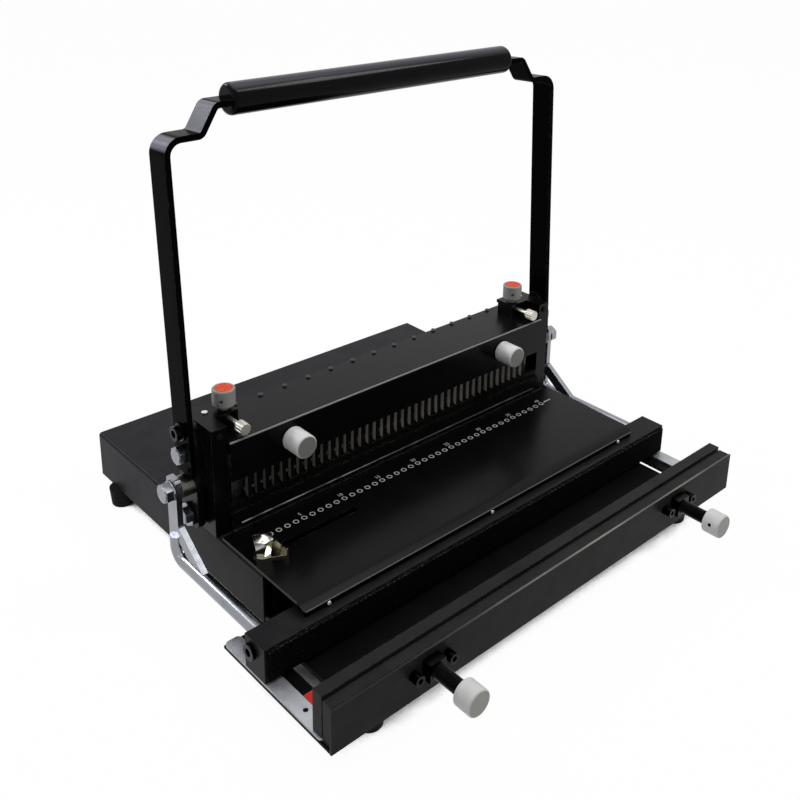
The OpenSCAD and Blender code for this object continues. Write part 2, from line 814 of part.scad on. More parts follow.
module beam_guides() {
    color("#5d6064") both() union() {
        bx(slot_x0 + 0.6, slot_x1 - 0.6, beam_f + 8, beam_f + 20, z_base - 3, z_beam0);
        bx(slot_x0 - 3, slot_x1 + 3, beam_f + 8, beam_f + 20, z_base - 4, z_base - glide);
    }
}

module closer_floor() {
    color("#202124") bx(-slot_x0 + 0.2, slot_x0 - 0.2, bar_r, slot_y1 - 1.5, z_floor, z_slide - glide);
}

module slide_plates() {
    color("#d0d2d4") both() difference() {
        translate([0, 0, z_floor]) linear_extrude(slide_t)
            round_rect(half + 26.5, wide - 0.2, bar_r, y_front - 7, 4);
        rz(wide - 8, jaw_r + 17, z_floor - 1, z_slide + 1, 4, 24);
    }
}

module stop_pads() {
    color("#c8402e") both() bx(half + 16, half + 26, jaw_f + 1, slot_y0 + 1.7, z_floor, z_slide - 0.5);
}

module jaw_plate() {
    color("#2a2b2f") difference() {
        bx(-jaw_x, jaw_x, jaw_f, jaw_r, z_beam0, z_jaw);
        for (s = [-1, 1]) ry(s*adj_x, jaw_f - 1, jaw_f + 7, adj_z, spindle_d + 2*run);
    }
}

// Holes for the adjusters and their screws
module front_holes(y0, y1) {
    for (s = [-1, 1]) {
        ry(s*adj_x, y0 - 1, y1 + 1, adj_z, spindle_d + 1.4);
        for (t = [-adj_side, adj_side])
            ry(s*adj_x + t, y0 - 1, min(y1 + 1, bar_f + 6), adj_z, adj_screw);
    }
}

module front_bar() {
    color("#28292d") difference() {
        bx(-jaw_x, jaw_x, bar_f, bar_r, z_floor, z_bar1);
        front_holes(bar_f, bar_r);
    }
}

module front_plate() {
    color("#2d2e32") difference() {
        bx(-wide, wide, plate_f, bar_f, z_base, z_plate);
        front_holes(plate_f, bar_f);
    }
}

module front_screws() {
    color("#121214") for (s = [-1, 1], t = [-adj_side, adj_side]) difference() {
        union() {
            ry(s*adj_x + t, plate_f - 8, plate_f, adj_z, 8.5);
            ry(s*adj_x + t, plate_f - 1, bar_f + 5.5, adj_z, adj_screw);
        }
        translate([s*adj_x + t, plate_f - 4, adj_z]) rotate([90, 0, 0])
            cylinder(h = 5, d = 4/cos(30), $fn = 6);
    }
}

module adjuster_blocks() {
    color("#18191b") for (s = [-1, 1]) difference() {
        bx(s*adj_x - 7.5, s*adj_x + 7.5, plate_f - 8.5, plate_f, adj_z - 8, adj_z + 8);
        ry(s*adj_x, plate_f - 9, plate_f + 1, adj_z, spindle_d + 2*run);
    }
}

knob_y = plate_f - 33;
module adjuster_spindle(s) {
    color("#202124") ry(s*adj_x, knob_y - 10, jaw_f + 6.9, adj_z, spindle_d);
}
module adjuster_spindle_left() {
    adjuster_spindle(-1);
}
module adjuster_spindle_right() {
    adjuster_spindle(1);
}
module adjuster_knob(s) {
    color("#e4e4e0") difference() {
        translate([s*adj_x, knob_y, adj_z]) rotate([90, 0, 0]) turned(knob_d, knob_l, 1.5);
        ry(s*adj_x, knob_y - 10, knob_y + 1, adj_z, spindle_d);
    }
}
module adjuster_knob_left() {
    adjuster_knob(-1);
}
module adjuster_knob_right() {
    adjuster_knob(1);
}

base_plate();
body_shell();
rubber_feet();
chip_drawer();
table_plate();
small_screws();
edge_guide();
guide_bolt();
guide_nut();
end_plate_left();
end_plate_right();
rear_wall();
top_cover();
cover_screws();
cover_rail();
cover_knob_left();
cover_knob_right();
lock_brackets();
lock_knob_left();
lock_knob_right();
lock_cap_left();
lock_cap_right();
lock_screw_left();
lock_screw_right();
die_plate();
pin_guide();
throat_strip();
punch_pins();
punch_beam();
drive_racks();
drive_shaft();
drive_pinions();
shaft_bushings();
crank_plates();
handle_bar();
hand_grip();
arm_cap_screws();
arm_bolts();
pivot_bolts();
plain_washers();
link_spacers();
link_bolts();
link_left();
link_right();
closing_beam();
beam_strip();
beam_pins();
beam_guides();
closer_floor();
slide_plates();
stop_pads();
jaw_plate();
front_bar();
front_plate();
front_screws();
adjuster_blocks();
adjuster_spindle_left();
adjuster_spindle_right();
adjuster_knob_left();
adjuster_knob_right();
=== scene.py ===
import json
import math

import bmesh
import bpy
from mathutils import Matrix, Vector

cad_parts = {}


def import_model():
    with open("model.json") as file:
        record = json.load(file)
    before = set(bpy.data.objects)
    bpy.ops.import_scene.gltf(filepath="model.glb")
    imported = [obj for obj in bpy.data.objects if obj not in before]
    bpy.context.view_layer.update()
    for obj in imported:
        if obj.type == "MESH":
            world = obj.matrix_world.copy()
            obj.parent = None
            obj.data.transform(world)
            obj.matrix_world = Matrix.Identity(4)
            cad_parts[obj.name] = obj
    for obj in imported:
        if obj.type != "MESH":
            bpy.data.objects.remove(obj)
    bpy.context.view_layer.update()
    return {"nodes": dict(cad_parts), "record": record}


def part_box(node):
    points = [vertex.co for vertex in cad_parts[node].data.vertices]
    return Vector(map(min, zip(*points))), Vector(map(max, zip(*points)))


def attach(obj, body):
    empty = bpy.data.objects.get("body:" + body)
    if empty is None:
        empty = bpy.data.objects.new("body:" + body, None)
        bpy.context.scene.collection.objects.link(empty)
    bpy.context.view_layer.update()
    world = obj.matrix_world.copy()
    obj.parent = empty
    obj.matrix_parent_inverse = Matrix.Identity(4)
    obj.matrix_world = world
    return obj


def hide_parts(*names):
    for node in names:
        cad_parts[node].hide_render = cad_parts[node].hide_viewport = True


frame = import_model()
nodes = frame["nodes"]
MM = 0.001


# Tools for procedural materials

# The Mix node has one set of sockets for each kind of data, so its colours go by their places
MIX_COLOR_A, MIX_COLOR_B, MIX_COLOR_OUT = 6, 7, 2


class Paint:
    """A principled material with procedural detail in the part's own coordinates."""

    def __init__(self, name, color, roughness, metallic=0.0, gloss=0.5):
        self.mat = bpy.data.materials.new(name)
        self.mat.use_nodes = True
        self.tree = self.mat.node_tree
        self.bsdf = self.tree.nodes["Principled BSDF"]
        self.bsdf.inputs["Base Color"].default_value = (*color, 1.0)
        self.bsdf.inputs["Roughness"].default_value = roughness
        self.bsdf.inputs["Metallic"].default_value = metallic
        self.bsdf.inputs["Specular IOR Level"].default_value = gloss
        self.coords = self.tree.nodes.new("ShaderNodeTexCoord")
        self.last_normal = None

    def node(self, kind, **values):
        """A new node with some of its settings."""
        made = self.tree.nodes.new(kind)
        for key, value in values.items():
            setattr(made, key, value)
        return made

    def link(self, a, b):
        """Joins an output socket to an input socket."""
        self.tree.links.new(a, b)

    def noise(self, size_mm, detail=3.0, stretch=(1, 1, 1)):
        """Noise whose features are about size_mm across, stretched along the axes."""
        mapping = self.node("ShaderNodeMapping")
        mapping.inputs["Scale"].default_value = [1.0 / s for s in stretch]
        made = self.node("ShaderNodeTexNoise")
        made.inputs["Scale"].default_value = 1.0 / (size_mm * MM)
        made.inputs["Detail"].default_value = detail
        self.link(self.coords.outputs["Object"], mapping.inputs["Vector"])
        self.link(mapping.outputs["Vector"], made.inputs["Vector"])
        return made.outputs["Fac"]

    def spread(self, source, low=0.0, high=1.0, start=0.3, end=0.7):
        """Maps the values from start to end to the range from low to high."""
        made = self.node("ShaderNodeMapRange")
        made.inputs["From Min"].default_value = start
        made.inputs["From Max"].default_value = end
        made.inputs["To Min"].default_value = low
        made.inputs["To Max"].default_value = high
        self.link(source, made.inputs["Value"])
        return made.outputs["Result"]

    def product(self, a, b):
        """Two values multiplied."""
        made = self.node("ShaderNodeMath", operation="MULTIPLY")
        self.link(a, made.inputs[0])
        self.link(b, made.inputs[1])
        return made.outputs["Value"]

    def mix(self, factor, color_a, color_b):
        """A colour between two, by a factor. A colour may be a socket."""
        made = self.node("ShaderNodeMix", data_type="RGBA")
        self.link(factor, made.inputs["Factor"])
        for place, color in ((MIX_COLOR_A, color_a), (MIX_COLOR_B, color_b)):
            if isinstance(color, bpy.types.NodeSocket):
                self.link(color, made.inputs[place])
            else:
                made.inputs[place].default_value = (*color, 1.0)
        return made.outputs[MIX_COLOR_OUT]

    def along(self, axis, low, high, from_mm, to_mm):
        """A value that runs from low to high between two places along an axis."""
        split = self.node("ShaderNodeSeparateXYZ")
        self.link(self.coords.outputs["Object"], split.inputs[0])
        return self.spread(split.outputs[axis], low, high, from_mm * MM, to_mm * MM)

    def facing(self, axis):
        """The part of the surface normal along one of the part's axes."""
        split = self.node("ShaderNodeSeparateXYZ")
        self.link(self.coords.outputs["Normal"], split.inputs[0])
        return split.outputs[axis]

    def edge(self, radius_mm, start=0.02, end=0.25):
        """One near outside edges of the shape, zero on its flats."""
        rounded = self.node("ShaderNodeBevel", samples=4)
        rounded.inputs["Radius"].default_value = radius_mm * MM
        plain = self.node("ShaderNodeNewGeometry")
        dot = self.node("ShaderNodeVectorMath", operation="DOT_PRODUCT")
        self.link(rounded.outputs["Normal"], dot.inputs[0])
        self.link(plain.outputs["Normal"], dot.inputs[1])
        turn = self.node("ShaderNodeMath", operation="SUBTRACT")
        turn.inputs[0].default_value = 1.0
        self.link(dot.outputs["Value"], turn.inputs[1])
        return self.spread(turn.outputs["Value"], start=start, end=end)

    def color(self, socket):
        """Takes the base colour from a socket."""
        self.link(socket, self.bsdf.inputs["Base Color"])

    def roughness(self, socket):
        """Takes the roughness from a socket."""
        self.link(socket, self.bsdf.inputs["Roughness"])

    def bump(self, height, depth_mm, strength=1.0):
        """Adds a fine relief on top of the one before it."""
        made = self.node("ShaderNodeBump")
        made.inputs["Distance"].default_value = depth_mm * MM
        made.inputs["Strength"].default_value = strength
        self.link(height, made.inputs["Height"])
        if self.last_normal:
            self.link(self.last_normal, made.inputs["Normal"])
        self.last_normal = made.outputs["Normal"]
        self.link(self.last_normal, self.bsdf.inputs["Normal"])


def shade(color, factor, lift=0.0):
    """A colour made lighter or darker."""
    return [c * factor + lift for c in color]


# Masks for painted highlights, sheen and reflections

def leaning(p, axis, full, none):
    """One on slopes between up and the low side of an axis, by the parts of the normal."""
    return p.spread(p.product(p.facing(axis), p.facing("Z")), 1.0, 0.0, full, none)


def rubbed_fold(p):
    """One on a bend between the front and the top, where a painted highlight line goes."""
    return leaning(p, "Y", full=-0.42, none=-0.30)


def rubbed_bends(p):
    """One on the slopes of the left arm, where a paler painted reflection goes."""
    return leaning(p, "X", full=-0.40, none=-0.26)


def rubbed_lip(p):
    """One along the lower edge of the table's sloped lip, where a painted highlight line goes."""
    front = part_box("table_plate")[0].y / MM
    upward = p.spread(p.facing("Z"), start=0.2, end=0.5)
    return p.product(upward, p.along("Y", 1.0, 0.0, from_mm=front + 0.5, to_mm=front + 1.0))


def skyward(p):
    """Grows to one on faces that look up."""
    return p.spread(p.facing("Z"), start=0.55, end=1.0)


def rubbed_top(p):
    """Up to one on faces that look up, in long patches and less at the left end, where a painted
    highlight goes.
    """
    patches = p.spread(p.noise(size_mm=70, detail=2), low=0.2)
    less_at_left = p.along("X", 0.05, 1.0, from_mm=-170, to_mm=-30)
    upward = p.spread(p.facing("Z"), start=0.5, end=0.9)
    return p.product(upward, p.product(patches, less_at_left))


# Kinds of material

WORN = (0.11, 0.11, 0.115)


def coated(name, color, finish, worn=WORN, painted_light=None, painted_light_color=None):
    """Paint on steel with orange peel, faint smears and lighter worn edges, and where asked a
    lighter colour painted on as a highlight, sheen or reflection.
    """
    rough = finish["rough"]
    p = Paint(name, color, rough, gloss=finish["gloss"])
    p.roughness(p.spread(p.noise(size_mm=45, detail=4), rough * 0.85, rough * 1.2))
    chipped = p.spread(p.noise(size_mm=3.5, detail=5), start=0.48, end=0.72)
    tone = p.mix(p.spread(p.noise(size_mm=18)), color, shade(color, 1.4))
    top = p.mix(p.product(p.edge(radius_mm=0.7), chipped), tone, worn)
    # A painted highlight, sheen or reflection in a lighter colour, where the mask picks.
    if painted_light:
        top = p.mix(painted_light(p), top, painted_light_color)
    p.color(top)
    p.bump(p.noise(finish["peel_mm"], detail=2), finish["peel_depth_mm"])
    return p.mat


def plated(name, color, tint, rough, grain_mm=0.5, stretch=(1, 1, 1), depth_mm=0.008):
    """Plated or bare metal with slow mottling, a fine grain and duller patches."""
    p = Paint(name, color, rough, metallic=1.0)
    p.color(p.mix(p.spread(p.noise(size_mm=14, detail=4)), color, tint))
    p.roughness(p.spread(p.noise(size_mm=6, detail=4), rough * 0.85, rough * 1.2))
    p.bump(p.noise(grain_mm, stretch=stretch), depth_mm, strength=0.6)
    return p.mat


def plastic(name, color, rough, end=None):
    """Moulded plastic with a fine grain and slight soiling, and if asked a greyer front end as
    painted shade.
    """
    p = Paint(name, color, rough, gloss=0.25)
    soil = p.spread(p.noise(size_mm=7, detail=5), start=0.42, end=0.75)
    tone = p.mix(soil, color, shade(color, 0.9))
    # Faces that look forward get the end colour, a painted shade.
    if end:
        tone = p.mix(p.spread(p.facing("Y"), 1.0, 0.0, start=-0.98, end=-0.90), tone, end)
    p.color(tone)
    p.roughness(p.spread(p.noise(size_mm=3), rough * 0.9, rough * 1.15))
    p.bump(p.noise(size_mm=0.5, detail=2), depth_mm=0.012)
    return p.mat


def rubber(name, color):
    """Matt rubber with a grainy skin and dusty patches."""
    p = Paint(name, color, roughness=0.75, gloss=0.12)
    lighter_patches = p.spread(p.noise(size_mm=6, detail=6), start=0.5, end=0.8)
    p.color(p.mix(lighter_patches, color, shade(color, 1.6, lift=0.004)))
    p.bump(p.noise(size_mm=0.6, detail=4), depth_mm=0.05)
    return p.mat


def felted(name, color, dark):
    """Mottled red facing of the lock knobs."""
    p = Paint(name, color, roughness=0.6, gloss=0.08)
    p.color(p.mix(p.spread(p.noise(size_mm=1.6, detail=4), start=0.38, end=0.62), dark, color))
    p.bump(p.noise(size_mm=1.2, detail=4), depth_mm=0.12)
    return p.mat


def crumbly(name, color, speck):
    """Rough moulded rubber strip with a coarse skin and pale specks along its top edge."""
    p = Paint(name, color, roughness=0.9, gloss=0.04)
    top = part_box("beam_strip")[1].z / MM
    upper = p.along("Z", 0.0, 1.0, from_mm=top - 2.6, to_mm=top - 1.1)
    broken = p.spread(p.noise(size_mm=1.6, detail=4), start=0.52, end=0.62)
    edge_specks = p.product(p.edge(radius_mm=1.2), broken)
    grain = p.spread(p.noise(size_mm=1.1, detail=4), high=0.25, start=0.64, end=0.72)
    skin = p.mix(grain, color, speck)
    p.color(p.mix(p.product(edge_specks, upper), skin, speck))
    p.bump(p.noise(size_mm=1.4, detail=5), depth_mm=0.25)
    return p.mat


def pin_steel(oxide_and_shade, ground):
    """Punch steel with pale ground sides and dark oxide in front, a contrast partly real and partly
    painted shade, and darker towards the left end as painted shade.
    """
    p = Paint("pin_steel", ground, roughness=0.45, gloss=0.03)
    side = p.spread(p.facing("Y"), start=-0.8, end=-0.2)
    # Darker towards the left end, as painted shade.
    unmarked = p.product(side, p.along("X", 0.22, 1.0, from_mm=-165, to_mm=-20))
    streaks = p.spread(p.noise(size_mm=2.5, detail=4, stretch=(1, 1, 4)), low=0.8)
    p.color(p.mix(p.product(unmarked, streaks), oxide_and_shade, ground))
    p.roughness(p.spread(p.noise(size_mm=1.5, detail=4, stretch=(1, 1, 6)), 0.35, 0.55))
    p.bump(p.noise(size_mm=0.5, stretch=(1, 1, 14)), depth_mm=0.004, strength=0.6)
    return p.mat


def scuffed_strip(dark, painted_light_color):
    """A dark strip with lighter broken lengths, most at the left end, as a painted highlight."""
    p = Paint("scuffed_strip", dark, roughness=0.35, metallic=1.0)
    broken = p.spread(p.noise(size_mm=5, detail=5, stretch=(3, 1, 1)), start=0.44, end=0.64)
    painted_light = p.product(broken, p.along("X", 1.0, 0.22, from_mm=-170, to_mm=30))
    p.color(p.mix(painted_light, dark, painted_light_color))
    p.bump(p.noise(size_mm=0.6), depth_mm=0.004)
    return p.mat


def screw_coat(unmarked, painted_lit_side, painted_sheen_top):
    """Paint on screw heads, clean on the end plates and lighter on the cover: a painted sheen on
    their tops and painted light on their shaded sides.
    """
    p = Paint("screw_coat", unmarked, roughness=0.35, gloss=0.05)
    # On the cover the heads are painted lighter, a painted sheen on top and painted light on the
    # sides.
    on_cover = p.along("Y", 0.0, 1.0, from_mm=30, to_mm=50)
    lighter_patches = p.product(on_cover, p.spread(p.noise(size_mm=1.5), low=0.8))
    p.color(p.mix(lighter_patches, unmarked, p.mix(skyward(p), painted_lit_side, painted_sheen_top)))
    p.bump(p.noise(size_mm=0.6, detail=2), depth_mm=0.004)
    return p.mat


def bright_screw():
    """Near-white paint on the small screw heads, a painted glint for their zinc."""
    p = Paint("bright_screw", (0.92, 0.92, 0.90), roughness=0.25, metallic=0.2)
    p.bump(p.noise(size_mm=0.6, detail=2), depth_mm=0.002)
    return p.mat


def white_ink(fresh, worn):
    """Printing ink, worn thin in places."""
    p = Paint("white_ink", fresh, roughness=0.6)
    p.color(p.mix(p.spread(p.noise(size_mm=0.8, detail=4), start=0.50, end=0.8), fresh, worn))
    p.bump(p.noise(size_mm=0.4, detail=2), depth_mm=0.01)
    return p.mat


# Finishes of the paint, each with its orange peel

SATIN = {"rough": 0.32, "peel_mm": 0.9, "peel_depth_mm": 0.008, "gloss": 0.035}
ENAMEL = {"rough": 0.24, "peel_mm": 1.6, "peel_depth_mm": 0.003, "gloss": 0.10}
HANDLE = {"rough": 0.14, "peel_mm": 1.4, "peel_depth_mm": 0.0015, "gloss": 0.009}
GRIP = {"rough": 0.13, "peel_mm": 2.2, "peel_depth_mm": 0.003, "gloss": 0.06}
BEAM = {"rough": 0.30, "peel_mm": 0.9, "peel_depth_mm": 0.006, "gloss": 0.05}
UNDER = {"rough": 0.35, "peel_mm": 0.9, "peel_depth_mm": 0.006, "gloss": 0.03}
GUIDE = {"rough": 0.30, "peel_mm": 0.9, "peel_depth_mm": 0.004, "gloss": 0.03}
POLISHED_MM = 0.001

COVER_BLACK = (0.0016, 0.0016, 0.0017)
COAT_BLACK = (0.0165, 0.0152, 0.0180)
BAR_BLACK = (0.0168, 0.0157, 0.0160)
BEAM_BLACK = (0.010, 0.0095, 0.0105)
LOW_SHADE_BLACK = (0.004, 0.0035, 0.0036)
GUIDE_BLACK = (0.004, 0.0038, 0.0036)
HANDLE_BLACK = (0.0010, 0.0010, 0.0012)
GRIP_BLACK = (0.0010, 0.0010, 0.0016)


# One material for each slot of the record, and others for single nodes

materials = {
    "black_coat": coated("black_coat", COAT_BLACK, SATIN),
    "gloss_coat": coated("gloss_coat", COVER_BLACK, ENAMEL),
    # The slopes of the handle's left arm get a paler colour, a painted reflection.
    "handle_coat": coated("handle_coat", HANDLE_BLACK, HANDLE,
                          painted_light=rubbed_bends, painted_light_color=(0.23, 0.228, 0.262)),
    "zinc": plated("zinc", (0.29, 0.30, 0.325), (0.24, 0.25, 0.275), rough=0.20,
                   depth_mm=POLISHED_MM),
    "black_oxide": plated("black_oxide", (0.0045, 0.0045, 0.005), (0.003, 0.003, 0.0035),
                          rough=0.26),
    "bare_steel": plated("bare_steel", (0.24, 0.24, 0.24), (0.18, 0.18, 0.18), rough=0.28,
                         grain_mm=0.4, stretch=(12, 1, 1)),
    "yellow_zinc": plated("yellow_zinc", (0.56, 0.54, 0.44), (0.46, 0.43, 0.32), rough=0.10,
                          depth_mm=POLISHED_MM),
    "chrome": plated("chrome", (0.46, 0.45, 0.42), (0.38, 0.37, 0.33), rough=0.15,
                     depth_mm=POLISHED_MM),
    # Forward faces get a greyer end colour, a painted shade.
    "white_plastic": plastic("white_plastic", (0.62, 0.62, 0.605), rough=0.42,
                             end=(0.33, 0.325, 0.30)),
    "grey_plastic": plastic("grey_plastic", (0.30, 0.295, 0.275), rough=0.45),
    "red_plastic": felted("red_plastic", (0.80, 0.13, 0.065), (0.56, 0.055, 0.022)),
    "red_rubber": rubber("red_rubber", (0.55, 0.035, 0.022)),
    # The top of the grip gets a paler, bluish colour, a painted reflection.
    "grip": coated("grip", GRIP_BLACK, GRIP, worn=(0.01, 0.01, 0.01),
                   painted_light=skyward, painted_light_color=(0.075, 0.077, 0.088)),
    "foot_rubber": rubber("foot_rubber", (0.004, 0.004, 0.004)),
}
bar_coat = coated("bar_coat", BAR_BLACK, SATIN)
# A darker copy of the black coat, as painted shade on the low base plate and closer floor.
shaded_low_coat = coated("shaded_low_coat", LOW_SHADE_BLACK, UNDER)
# White plastic whose forward faces are darker, a painted shade.
white_shaded_end = plastic("white_shaded_end", (0.70, 0.70, 0.685), rough=0.42, end=(0.235, 0.231, 0.214))
satin_nickel = plated("satin_nickel", (0.60, 0.58, 0.52), (0.50, 0.48, 0.42), rough=0.36)
node_paint = {
    # The small screw heads are painted near white, a painted glint.
    "small_screws": bright_screw(),
    "closing_beam": coated("beam_coat", BEAM_BLACK, BEAM),
    "beam_strip": crumbly("strip_rubber", (0.0015, 0.0013, 0.0015), (0.30, 0.30, 0.30)),
    "cover_knob_left": white_shaded_end,
    "cover_knob_right": white_shaded_end,
    "lock_screw_left": satin_nickel,
    "lock_screw_right": satin_nickel,
    "punch_pins": pin_steel(oxide_and_shade=(0.005, 0.0045, 0.004), ground=(0.64, 0.61, 0.54)),
    "throat_strip": scuffed_strip(dark=(0.03, 0.03, 0.03), painted_light_color=(0.17, 0.17, 0.165)),
    # The fold along the cover's front top edge gets a pale painted highlight line.
    "top_cover": coated("cover_coat", COVER_BLACK, ENAMEL,
                        painted_light=rubbed_fold, painted_light_color=(0.22, 0.22, 0.22)),
    "jaw_plate": bar_coat,
    "front_bar": bar_coat,
    # The front plate's upward faces get a paler colour, a painted highlight.
    "front_plate": coated("plate_coat", BAR_BLACK, SATIN,
                          painted_light=rubbed_top, painted_light_color=(0.24, 0.225, 0.20)),
    "adjuster_blocks": materials["black_oxide"],
    "end_plate_left": materials["gloss_coat"],
    "end_plate_right": materials["gloss_coat"],
    "lock_brackets": materials["gloss_coat"],
    "crank_plates": materials["gloss_coat"],
    "cover_screws": screw_coat(unmarked=(0.006, 0.006, 0.0065), painted_lit_side=(0.26, 0.26, 0.262),
                               painted_sheen_top=(0.055, 0.055, 0.057)),
    "closer_floor": shaded_low_coat,
    "base_plate": shaded_low_coat,
    # The lower edge of the table's lip gets a pale painted highlight line.
    "table_plate": coated("table_coat", COVER_BLACK, ENAMEL,
                          painted_light=rubbed_lip, painted_light_color=(0.10, 0.10, 0.10)),
    "slide_plates": plated("slide_zinc", (0.40, 0.41, 0.43), (0.32, 0.33, 0.35), rough=0.5),
    # The pin guide's edges are paler than worn paint, as a painted edge highlight.
    "pin_guide": coated("guide_black", GUIDE_BLACK, GUIDE, worn=(0.16, 0.15, 0.13)),
    "link_spacers": plated("dull_steel", (0.11, 0.105, 0.095), (0.07, 0.065, 0.055), rough=0.30),
}
slot_of = {row["node"]: row["material_slot"] for row in frame["record"]["subparts"]}


# Soft edges on the CAD nodes, by modifiers only

SHARP = math.radians(32)
FLAT = math.radians(0.3)
WELD = 0.002 * MM
EDGE_MM = {
    "body_shell": 0.8, "closing_beam": 0.9, "jaw_plate": 0.7, "front_bar": 0.6, "front_plate": 0.5,
    "base_plate": 0.4, "table_plate": 0.5, "top_cover": 0.6, "handle_bar": 0.9, "crank_plates": 0.5,
    "link_left": 0.7, "link_right": 0.7, "slide_plates": 0.4, "punch_pins": 0.15,
    "drive_pinions": 0.1, "drive_racks": 0.1, "pin_guide": 0.25, "die_plate": 0.2,
    "punch_beam": 0.2, "throat_strip": 0.15, "edge_guide": 0.35, "guide_nut": 0.5,
    "hand_grip": 2.0, "cover_screws": 0.4, "small_screws": 0.2,
}
USUAL_EDGE_MM = 0.4


def geometry_group(name, build):
    """A geometry node group with one mesh in and one out."""
    group = bpy.data.node_groups.new(name, "GeometryNodeTree")
    for way in ("INPUT", "OUTPUT"):
        group.interface.new_socket("Geometry", in_out=way, socket_type="NodeSocketGeometry")
    start = group.nodes.new("NodeGroupInput")
    end = group.nodes.new("NodeGroupOutput")
    group.links.new(build(group, start.outputs[0]), end.inputs[0])
    return group


def weld(group, mesh):
    """Joins the corners that the frame keeps apart and drops its stored normals."""
    bare = group.nodes.new("GeometryNodeRemoveAttribute")
    bare.inputs["Name"].default_value = "custom_normal"
    join = group.nodes.new("GeometryNodeMergeByDistance")
    join.inputs["Distance"].default_value = WELD
    group.links.new(mesh, bare.inputs["Geometry"])
    group.links.new(bare.outputs["Geometry"], join.inputs["Geometry"])
    return join.outputs["Geometry"]


def smooth(group, mesh):
    """Smooth shading across every edge flatter than the sharp angle."""
    faces = group.nodes.new("GeometryNodeSetShadeSmooth")
    angle = group.nodes.new("GeometryNodeInputMeshEdgeAngle")
    flat = group.nodes.new("FunctionNodeCompare")
    flat.operation = "LESS_THAN"
    flat.inputs["B"].default_value = SHARP
    edges = group.nodes.new("GeometryNodeSetShadeSmooth")
    edges.domain = "EDGE"
    group.links.new(mesh, faces.inputs["Geometry"])
    group.links.new(faces.outputs["Geometry"], edges.inputs["Geometry"])
    group.links.new(angle.outputs["Unsigned Angle"], flat.inputs["A"])
    group.links.new(flat.outputs["Result"], edges.inputs["Shade Smooth"])
    return edges.outputs["Geometry"]


weld_group = geometry_group("weld", weld)
smooth_group = geometry_group("smooth_by_angle", smooth)


def soften(obj, width_mm):
    """Rounds the sharp edges of a piece by a small bevel."""
    obj.modifiers.new("weld", "NODES").node_group = weld_group
    plane = obj.modifiers.new("plane", "DECIMATE")
    plane.decimate_type = "DISSOLVE"
    plane.angle_limit = FLAT
    bevel = obj.modifiers.new("edge", "BEVEL")
    bevel.width = width_mm * MM
    bevel.segments = 2
    bevel.limit_method = "ANGLE"
    bevel.angle_limit = SHARP
    bevel.use_clamp_overlap = True
    obj.modifiers.new("smooth", "NODES").node_group = smooth_group
    even = obj.modifiers.new("even", "WEIGHTED_NORMAL")
    even.keep_sharp = True


for name, obj in nodes.items():
    obj.data.materials.clear()
    obj.data.materials.append(node_paint.get(name, materials[slot_of[name]]))
    soften(obj, EDGE_MM.get(name, USUAL_EDGE_MM))


# Camera, solved from the photograph's vanishing lines and the punch row, with a moderate shift

CAMERA_AT = Vector((-0.55338, -0.59992, 0.57186))
RIGHT = Vector((0.7366577, -0.6759120, 0.0218696))
DOWN = Vector((-0.1987692, -0.2473169, -0.9483276))
AHEAD = Vector((0.6463947, 0.6942458, -0.3165385))
FOCAL_PX = 1017.811
CENTRE_PX = (425, 215)
IMAGE_PX = 800

camera = bpy.data.objects.new("camera", bpy.data.cameras.new("camera"))
bpy.context.scene.collection.objects.link(camera)
camera_turn = Matrix((RIGHT, -DOWN, -AHEAD)).transposed().to_4x4()
camera.matrix_world = Matrix.Translation(CAMERA_AT) @ camera_turn
camera.data.sensor_width = 36.0
camera.data.lens = FOCAL_PX / IMAGE_PX * camera.data.sensor_width
camera.data.shift_x = (IMAGE_PX / 2 - CENTRE_PX[0]) / IMAGE_PX
camera.data.shift_y = (CENTRE_PX[1] - IMAGE_PX / 2) / IMAGE_PX
camera.data.clip_start = 0.01
bpy.context.scene.camera = camera


# Pale floor, world and soft lamps

WHITE = (1, 1, 1, 1)
FLOOR_PALE = (0.85, 0.85, 0.85, 1)
FLOOR_HALF_WIDTH = 6.0
FLOOR_DROP = 0.5 * MM
SHADOW = {"reach": 0.4, "dark": 0.195, "open": 0.25, "white": 0.98}
WORLD_LIGHT = 0.25
MACHINE = (0, 0, 0.15)


def seen_ray(tree):
    """One for what the eye, a mirror or a glass sees, zero for the light that falls on things."""
    path = tree.nodes.new("ShaderNodeLightPath")
    seen = path.outputs["Is Camera Ray"]
    for ray in ("Is Glossy Ray", "Is Transmission Ray"):
        either = tree.nodes.new("ShaderNodeMath")
        either.operation = "MAXIMUM"
        tree.links.new(seen, either.inputs[0])
        tree.links.new(path.outputs[ray], either.inputs[1])
        seen = either.outputs[0]
    return seen


def open_floor(tree):
    """Near one on the open floor, zero in the shadow under the machine."""
    near = tree.nodes.new("ShaderNodeAmbientOcclusion")
    near.samples = 16
    near.inputs["Distance"].default_value = SHADOW["reach"]
    made = tree.nodes.new("ShaderNodeMapRange")
    made.inputs["From Min"].default_value = SHADOW["dark"]
    made.inputs["From Max"].default_value = SHADOW["open"]
    made.inputs["To Max"].default_value = SHADOW["white"]
    tree.links.new(near.outputs["AO"], made.inputs["Value"])
    return made.outputs["Result"]


